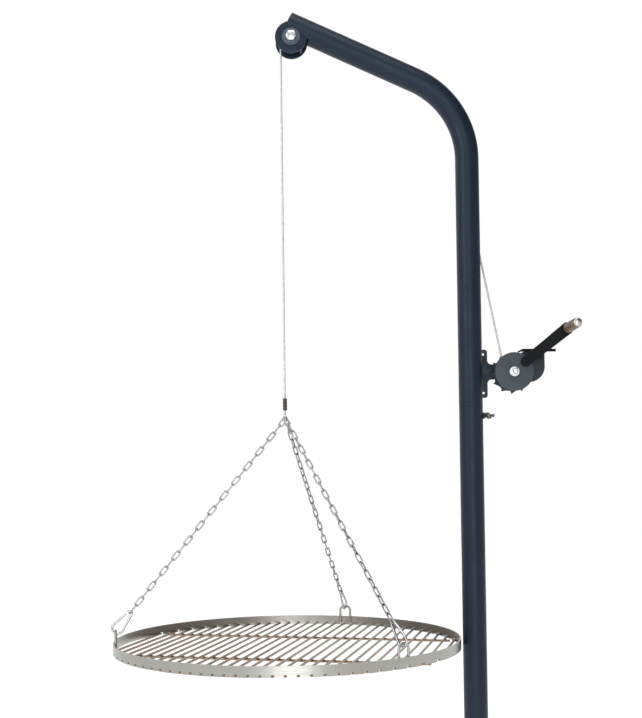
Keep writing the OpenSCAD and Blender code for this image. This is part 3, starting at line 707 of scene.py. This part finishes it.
SHEAVE_BOLT_R, SHEAVE_BOLT_HEAD = 6 * MM, 7.5 * MM


def along_y(parts, centre, y, toward=1):
    """Geometry built round +Z, laid along Y from y, at a centre in the X-Z plane."""
    return place(parts, (centre.x, y, centre.z), Y * toward)


def washer(radius, hole, thick):
    edge = 0.35 * MM
    outline = [(hole, edge), (hole + edge, 0), (radius - edge, 0), (radius, edge)]
    outline += [(radius, thick - edge), (radius - edge, thick), (hole + edge, thick), (hole, thick - edge)]
    return lathe(outline, 72, closed=True)


bolt_low, bolt_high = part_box("sheave_bolt")
across = bolt_high.z - bolt_low.z
nut_low, nut_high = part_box("sheave_nut")
piece(
    "sheave_bolt_finished",
    joined(
        along_y(hexagon(across, SHEAVE_BOLT_HEAD), SHEAVE, bolt_low.y + SHEAVE_BOLT_HEAD, -1),
        along_y(
            lathe([(SHEAVE_BOLT_R, 0), (SHEAVE_BOLT_R, nut_low.y - bolt_low.y - SHEAVE_BOLT_HEAD)], 48),
            SHEAVE,
            bolt_low.y + SHEAVE_BOLT_HEAD,
        ),
        along_y(threaded(SHEAVE_BOLT_R, bolt_high.y - nut_low.y, 1.75 * MM), SHEAVE, nut_low.y),
    ),
    "bright_steel",
    "boom",
    ["sheave_bolt"],
)
piece(
    "sheave_nut_finished",
    along_y(hexagon(across, nut_high.y - nut_low.y, SHEAVE_BOLT_R + 0.05 * MM, both=True), SHEAVE, nut_low.y),
    "bright_steel",
    "boom",
    ["sheave_nut"],
)
wash_low, wash_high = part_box("sheave_washers")
wash_r, wash_t = (wash_high.z - wash_low.z) / 2, 2.5 * MM
piece(
    "sheave_washers_finished",
    joined(
        *(
            along_y(washer(wash_r, SHEAVE_BOLT_R + 0.05 * MM, wash_t), SHEAVE, y)
            for y in (wash_low.y, wash_high.y - wash_t)
        )
    ),
    "washer_steel",
    "boom",
    ["sheave_washers"],
)
for node in ("tip_cheek_front", "tip_cheek_rear"):
    broken_edges(node, 0.7 * MM, 3)
broken_edges("keeper_rivet", 0.6 * MM, 3)


def cheek_welds():
    """Beads where each cheek meets the slot's edge in the tube."""
    boom = Vector((-math.cos(BOOM_RISE), 0, math.sin(BOOM_RISE)))
    up = Vector((math.sin(BOOM_RISE), 0, math.cos(BOOM_RISE)))
    out = []
    for side, node in ((-1, "tip_cheek_front"), (1, "tip_cheek_rear")):
        y = side * (max(abs(v) for v in span(node, 1)) + 0.2 * MM)
        height = 28 * MM - math.sqrt(TUBE_R**2 - y**2)
        for a, b in ((-30, -20.5), (19.2, 17.5)):
            if a < 0:
                out.append(
                    bead(
                        [
                            SHEAVE + boom * (a * MM) + up * (height + 0.5 * MM) + Y * y,
                            SHEAVE + boom * (b * MM) + up * (height + 0.5 * MM) + Y * y,
                        ],
                        1.6 * MM,
                    ),
                )
    return joined(*out)


show(new_mesh("cheek_weld_beads", *cheek_welds()), WELD_NAVY, "boom")

# ---------------------------------------------------------------- winch

for node, width in (
    ("winch_plate", 0.6 * MM),
    ("drum_disc", 0.6 * MM),
    ("ratchet_wheel", 0.35 * MM),
    ("pawl", 0.6 * MM),
    ("crank_arm", 0.7 * MM),
    ("pawl_pin", 0.5 * MM),
    ("winch_drum", 0.3 * MM),
    ("axle_spacer", 0.3 * MM),
):
    broken_edges(node, width)

AXLE_R, AXLE_HEAD = 5 * MM, 6.4 * MM
axle_low, axle_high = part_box("winch_axle")
axle_nut = span("axle_nut", 1)
piece(
    "winch_axle_finished",
    joined(
        along_y(hexagon(axle_high.z - axle_low.z, AXLE_HEAD), WINCH, axle_high.y - AXLE_HEAD),
        along_y(
            lathe([(AXLE_R, 0), (AXLE_R, axle_high.y - AXLE_HEAD - axle_nut[1])], 40), WINCH, axle_nut[1]
        ),
        along_y(threaded(AXLE_R, axle_nut[1] - axle_low.y, 1.5 * MM), WINCH, axle_nut[1], -1),
    ),
    "bright_steel",
    "boom",
    ["winch_axle"],
)
nut_flats = span("axle_nut", 2)
piece(
    "axle_nut_finished",
    along_y(
        hexagon(nut_flats[1] - nut_flats[0], axle_nut[1] - axle_nut[0], AXLE_R + 0.05 * MM, both=True),
        WINCH,
        axle_nut[0],
    ),
    "bright_steel",
    "boom",
    ["axle_nut"],
)
aw_low, aw_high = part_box("axle_washer")
piece(
    "axle_washer_finished",
    along_y(washer((aw_high.z - aw_low.z) / 2, AXLE_R + 0.05 * MM, aw_high.y - aw_low.y), WINCH, aw_low.y),
    "bright_steel",
    "boom",
    ["axle_washer"],
)

plate_front = span("winch_plate", 1)[0]
plate_z = span("winch_plate", 2)
weld_x = 3.6 * MM
show(
    new_mesh(
        "plate_weld_beads",
        *joined(
            *(
                bead(
                    [
                        (s * weld_x, plate_front - 0.2 * MM, z0),
                        (s * weld_x, plate_front - 0.2 * MM, z0 + 26 * MM),
                    ],
                    1.7 * MM,
                    seed=s + z0,
                )
                for s in (-1, 1)
                for z0 in (plate_z[0] + 6 * MM, plate_z[1] - 32 * MM)
            )
        ),
    ),
    WELD_NAVY,
    "boom",
)
disc_front = span("drum_disc", 1)[0]
arm_root = WINCH + Vector((23 * MM, 0, 20 * MM))
show(
    new_mesh(
        "crank_weld_bead",
        *bead(
            circle_path(
                (arm_root.x, disc_front - 0.3 * MM, arm_root.z),
                10.3 * MM,
                -Y,
                60,
                math.radians(52 + 40),
                0.72,
            ),
            1.5 * MM,
        ),
    ),
    WELD_DARK,
    "winch_drum",
)

# ---------------------------------------------------------------- grip

GRIP = joint_at("grip_spin")
grip_front, grip_back = span("grip", 1)
GRIP_L = grip_back - grip_front
GRIP_R = (span("grip", 0)[1] - span("grip", 0)[0]) / 2
GRIP_BORE = 4.1 * MM
BAND_L = 5 * MM


def grip_radius(s):
    """The turned handle's radius at a share s of its length from the arm: a soft belly, eased ends."""
    belly = GRIP_R * (0.90 + 0.10 * math.sin(math.pi * min(1, (s + 0.12) / 1.0)) ** 0.8)
    end = min(s * GRIP_L / (2.0 * MM), 1)
    tip = min((1 - s) * GRIP_L / (4.5 * MM), 1)
    return belly * (0.93 + 0.07 * math.sqrt(end)) * (0.66 + 0.34 * math.sqrt(max(0, 1 - (1 - tip) ** 2)))


wood_profile = [(grip_radius(i / 60), BAND_L + (GRIP_L - BAND_L) * i / 60) for i in range(61)]
piece(
    "grip_turned",
    along_y(
        lathe([(GRIP_BORE, BAND_L), *wood_profile, (GRIP_BORE, GRIP_L)], 72, closed=True),
        GRIP,
        grip_back,
        -1,
    ),
    "grip_wood",
    "grip",
    ["grip"],
)
band = [
    (GRIP_BORE, 0.1 * MM),
    (8.4 * MM, 0.1 * MM),
    (9.3 * MM, 0.9 * MM),
    (9.5 * MM, 2.4 * MM),
    (9.2 * MM, BAND_L - 0.2 * MM),
    (GRIP_BORE, BAND_L - 0.1 * MM),
]
piece("grip_band", along_y(lathe(band, 64, closed=True), GRIP, grip_back, -1), "grip_metal", "grip")

pin_low, pin_high = span("grip_pin", 1)
CAP_R = 8.4 * MM
CAP_STEPS = 14
cap_angles = [math.pi / 2 * i / CAP_STEPS for i in range(CAP_STEPS)]
dome = grip_front - pin_low - 0.9 * MM
cap = [(GRIP_BORE - 0.1 * MM, 0)]
cap += [(CAP_R * math.cos(a), 0.4 * MM + dome * math.sin(a)) for a in cap_angles]
cap += [(0.2 * MM, grip_front - pin_low - 0.5 * MM)]
piece(
    "grip_pin_finished",
    joined(
        along_y(lathe(cap, 56), GRIP, grip_front - 0.4 * MM, -1),
        along_y(
            lathe([(4 * MM, 0), (4 * MM, pin_high - grip_front + 0.4 * MM)], 36),
            GRIP,
            grip_front - 0.4 * MM,
        ),
        along_y(
            lathe([(6 * MM, 0), (6 * MM, 1.6 * MM), (5 * MM, 2.4 * MM), (2 * MM, 2.5 * MM)], 40),
            GRIP,
            pin_high - 2.5 * MM,
        ),
    ),
    "grip_metal",
    "winch_drum",
    ["grip_pin"],
)

# ---------------------------------------------------------------- wing screw

WING = joint_at("wing_screw_turn")
wing_low, wing_high = span("wing_screw", 0)
HUB_X = TUBE_R + 8 * MM
WING_TURN = math.radians(62)


def wing_loops():
    """Two flattened ears, each a ring that widens towards the hub."""
    parts = []
    for side in (-1, 1):
        out = side * (math.cos(WING_TURN) * Z + math.sin(WING_TURN) * Y)
        centre = WING + out * 9.0 * MM + X * (HUB_X + 3 * MM - WING.x)
        path = circle_path(centre, 3.9 * MM, out.cross(X), 40)

        def section(i, path=path, centre=centre, out=out):
            near = max(0, (centre - path[i]).dot(out) / (3.9 * MM))
            wide, thick = (1.25 + 0.7 * near) * MM, (1.3 + 0.5 * near) * MM
            return [(wide * math.cos(TAU * j / 14), thick * math.sin(TAU * j / 14)) for j in range(14)]

        parts.append(sweep(path, section, True))
    return parts


def along_x(parts, x):
    return place(parts, (x, 0, WING.z), X)


hub = [
    (2.8 * MM, 0),
    (4.4 * MM, 0),
    (5.0 * MM, 0.7 * MM),
    (4.7 * MM, 3 * MM),
    (5.0 * MM, 5.3 * MM),
    (4.2 * MM, 6 * MM),
    (2.8 * MM, 6 * MM),
]
piece(
    "wing_screw_finished",
    joined(
        along_x(threaded(3 * MM, wing_high - wing_low, 1 * MM, 24), wing_low),
        along_x(lathe(hub, 40), HUB_X),
        along_x(
            lathe([(2.8 * MM, 0), (3.6 * MM, 0.4 * MM), (3.6 * MM, 2.4 * MM), (2.6 * MM, 3 * MM)], 30),
            wing_high - 3 * MM,
        ),
        *wing_loops(),
    ),
    "wing_steel",
    "wing_screw",
    ["wing_screw"],
)
show(
    new_mesh(
        "wing_nut_weld_bead",
        *bead(circle_path((TUBE_R + 0.3 * MM, 0, WING.z), 6.3 * MM, X, 48), 1.1 * MM, closed=True),
    ),
    WELD_NAVY,
    "lower_mast",
)
broken_edges("wing_screw_nut", 0.4 * MM)

# ---------------------------------------------------------------- ground socket

for node, width in (("stop_plate", 0.8 * MM), ("socket_sleeve", 0.8 * MM), ("clamp_nut", 0.5 * MM)):
    broken_edges(node, width)
stop_low, stop_high = span("stop_plate", 2)
sleeve_low_r = 30 * MM
spike_top_r = span("ground_spike", 0)[1]
socket_beads = [
    bead(circle_path((0, 0, stop_high + 0.6 * MM), sleeve_low_r + 0.5 * MM, Z, 180), 2.1 * MM, closed=True),
    bead(
        circle_path((0, 0, stop_low - 0.6 * MM), spike_top_r + 0.4 * MM, Z, 180),
        2.1 * MM,
        closed=True,
        seed=4.0,
    ),
]
CLAMP_DIR = math.radians(-107)
clamp_out = Vector((math.cos(CLAMP_DIR), math.sin(CLAMP_DIR), 0))
clamp_z = sum(span("clamp_bolt", 2)) / 2
CLAMP_R, CLAMP_AF, CLAMP_HEAD = 5 * MM, 17 * MM, 6.4 * MM
CLAMP_TIP, CLAMP_TOP = TUBE_R + 0.2 * MM, 49 * MM


def at_clamp(parts, distance):
    return place(parts, clamp_out * distance + Z * clamp_z, clamp_out)


socket_beads.append(
    bead(
        circle_path(clamp_out * 35.2 * MM + Z * clamp_z, 9.6 * MM, clamp_out, 60),
        1.4 * MM,
        closed=True,
        seed=7.0,
    ),
)
spike_low = span("ground_spike", 2)[0]


def spike_radius(z):
    return 3.5 * MM + (spike_top_r - 3.5 * MM) * (z - spike_low) / (0 - spike_low)


def seam_weld(z, length):
    return [
        (0, -spike_radius(z + length * (i / 6 - 0.5)) + 0.4 * MM, z + length * (i / 6 - 0.5))
        for i in range(7)
    ]


for k in range(6):
    socket_beads.append(bead(seam_weld(spike_low + (38 + 31 * k) * MM, 7 * MM), 1.5 * MM, seed=10.0 + k))
show(new_mesh("socket_weld_beads", *joined(*socket_beads)), WELD_DARK, "ground_socket")
piece(
    "clamp_bolt_finished",
    joined(
        at_clamp(threaded(CLAMP_R, CLAMP_TOP + 0.5 * MM - CLAMP_TIP, 1.5 * MM), CLAMP_TIP),
        at_clamp(hexagon(CLAMP_AF, CLAMP_HEAD), CLAMP_TOP),
    ),
    "bolt_black",
    "ground_socket",
    ["clamp_bolt"],
)

# ---------------------------------------------------------------- grate

rim_low, rim_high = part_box("grate_rim")
GRATE_C = Vector((HANG.x, 0, 0))
GRATE_R = (rim_high.x - rim_low.x) / 2
RIM_T, ROD_R, ROD_PITCH, BAR_OFF = 3 * MM, 2.5 * MM, 21.6 * MM, 146 * MM
TURN = math.radians(-13.25)
rod_way = Vector((-math.sin(TURN), math.cos(TURN), 0))
rod_side = Vector((math.cos(TURN), math.sin(TURN), 0))
rod_z = sum(span("grill_rods", 2)) / 2
HALF = 15


def rod_tacks():
    """Tack welds where each rod meets the inside of the rim."""
    spots = []
    for k in range(-HALF, HALF + 1):
        q = k * ROD_PITCH
        reach = math.sqrt((GRATE_R - RIM_T - 0.3 * MM) ** 2 - q**2)
        for s in (-1, 1):
            p = GRATE_C + rod_side * q + rod_way * s * reach
            inward = (GRATE_C - Vector((p.x, p.y, 0))).normalized()
            spots.append((p + Z * (rod_z + 1.9 * MM) + inward * 0.4 * MM, (inward + Z * 0.8).normalized()))
    return blobs(spots, 2.4 * MM)


def bar_tacks():
    """Tack welds in the corners where the rods cross the two bars."""
    spots = []
    for k in range(-HALF, HALF + 1):
        for s in (-1, 1):
            q, b = k * ROD_PITCH, s * BAR_OFF
            if math.hypot(q, b) < GRATE_R - 8 * MM:
                p = GRATE_C + rod_side * q + rod_way * b
                spots.append(
                    (p + Z * (rod_z - ROD_R) + rod_side * 1.6 * MM + rod_way * 1.6 * MM, rod_side + rod_way)
                )
    return blobs(spots, 1.3 * MM, seed=5.0)


def eye_welds():
    """A bead down each side of both legs of the three hanging eyes."""
    out = []
    low, high = span("grate_eyes", 2)
    for az in (69, 189, 309):
        a = math.radians(az)
        radial, along = Vector((math.cos(a), math.sin(a), 0)), Vector((-math.sin(a), math.cos(a), 0))
        for leg in (-12, 12):
            for side in (-1, 1):
                p = GRATE_C + radial * (GRATE_R - RIM_T - 0.6 * MM) + along * (leg + side * 2.4) * MM
                out.append(
                    bead(
                        [p + Z * (low + 0.6 * MM), p + Z * (rim_high.z - 1.2 * MM)],
                        1.1 * MM,
                        seed=az + leg + side,
                    ),
                )
    return joined(*out)


show(new_mesh("rod_tack_welds", *rod_tacks()), WELD_BARE, "grate")
show(new_mesh("bar_tack_welds", *bar_tacks()), WELD_BARE, "grate")
show(new_mesh("eye_weld_beads", *eye_welds()), WELD_BARE, "grate")

# ---------------------------------------------------------------- studio

FLOOR_Z = CAD_BOX[0].z - 0.5 * MM


def plain(name, color, glow):
    n = Nodes(name)
    return n.set(Base_Color=(*color, 1), Roughness=0.9, Emission_Color=(1, 1, 1, 1), Emission_Strength=glow)


FLOOR_HALF = 14
PALE = 0.8                 # the world's level low down, all the way round
PALE_UP_TO = 0.16          # sine of the elevation where the pale band ends
GREY_FROM = 0.28           # and where the stretches below are reached
STRETCHES = [              # azimuth in degrees, level
    (-180, 0.7),
    (-156, 0.6),
    (-138, 0.12),
    (-112, 0.15),
    (-94, 0.4),
    (-78, 0.4),
    (-62, 0.10),
    (38, 0.10),
    (58, 1.0),
    (150, 1.0),
    (165, 0.7),
    (180, 0.7),
]


def surroundings():
    """Pale low down and white behind the object, with soft grey stretches higher up to mirror."""
    world = bpy.data.worlds.new("studio")
    bpy.context.scene.world = world
    world.use_nodes = True
    tree = world.node_tree
    make, link = tree.nodes.new, tree.links.new
    way, split, angle = make("ShaderNodeTexCoord"), make("ShaderNodeSeparateXYZ"), make("ShaderNodeMath")
    share, ramp = make("ShaderNodeMapRange"), make("ShaderNodeValToRGB")
    angle.operation = "ARCTAN2"
    link(way.outputs["Generated"], split.inputs[0])
    link(split.outputs["Y"], angle.inputs[0])
    link(split.outputs["X"], angle.inputs[1])
    link(angle.outputs[0], share.inputs["Value"])
    share.inputs["From Min"].default_value, share.inputs["From Max"].default_value = -math.pi, math.pi
    link(share.outputs["Result"], ramp.inputs["Fac"])
    low, lit = make("ShaderNodeMapRange"), make("ShaderNodeMath")
    link(split.outputs["Z"], low.inputs["Value"])
    for key, value in (("From Min", GREY_FROM), ("From Max", PALE_UP_TO), ("To Min", 0.0), ("To Max", PALE)):
        low.inputs[key].default_value = value
    lit.operation = "MAXIMUM"
    link(ramp.outputs["Color"], lit.inputs[0])
    link(low.outputs["Result"], lit.inputs[1])
    link(lit.outputs[0], tree.nodes["Background"].inputs["Color"])
    tree.nodes["Background"].inputs["Strength"].default_value = 1.0
    ramp.color_ramp.interpolation = "EASE"
    while len(ramp.color_ramp.elements) < len(STRETCHES):
        ramp.color_ramp.elements.new(0.5)
    for element, (degrees, level) in zip(ramp.color_ramp.elements, STRETCHES):
        element.position = (degrees + 180) / 360
    for element, (degrees, level) in zip(ramp.color_ramp.elements, STRETCHES):
        element.color = (level, level, level, 1)


def studio():
    corners = ((-1, -1), (1, -1), (1, 1), (-1, 1))
    spots = [(x * FLOOR_HALF, y * FLOOR_HALF, FLOOR_Z) for x, y in corners]
    floor = new_mesh("floor", spots, [(0, 1, 2, 3)])
    show(floor, plain("floor_pale", (0.88, 0.88, 0.88), 0.58), None)
    surroundings()
    for name, at, aim, wide, tall, power in (
        ("key_left", (-2.4, -2.2, 2.2), (-0.2, 0, 1.0), 1.0, 2.2, 35),
        ("front", (-0.15, -3.4, 1.2), (-0.15, 0, 1.1), 1.3, 2.8, 34),
        ("top", (-0.3, -0.9, 3.4), (-0.3, 0, 0.8), 1.6, 1.2, 24),
    ):
        data = bpy.data.lights.new(name, "AREA")
        data.shape, data.size, data.size_y, data.energy = "RECTANGLE", wide, tall, power
        light = bpy.data.objects.new(name, data)
        bpy.context.scene.collection.objects.link(light)
        light.location = at
        light.rotation_euler = (Vector(aim) - Vector(at)).to_track_quat("-Z", "Y").to_euler()
    bpy.context.scene.view_settings.view_transform = "Standard"


studio()
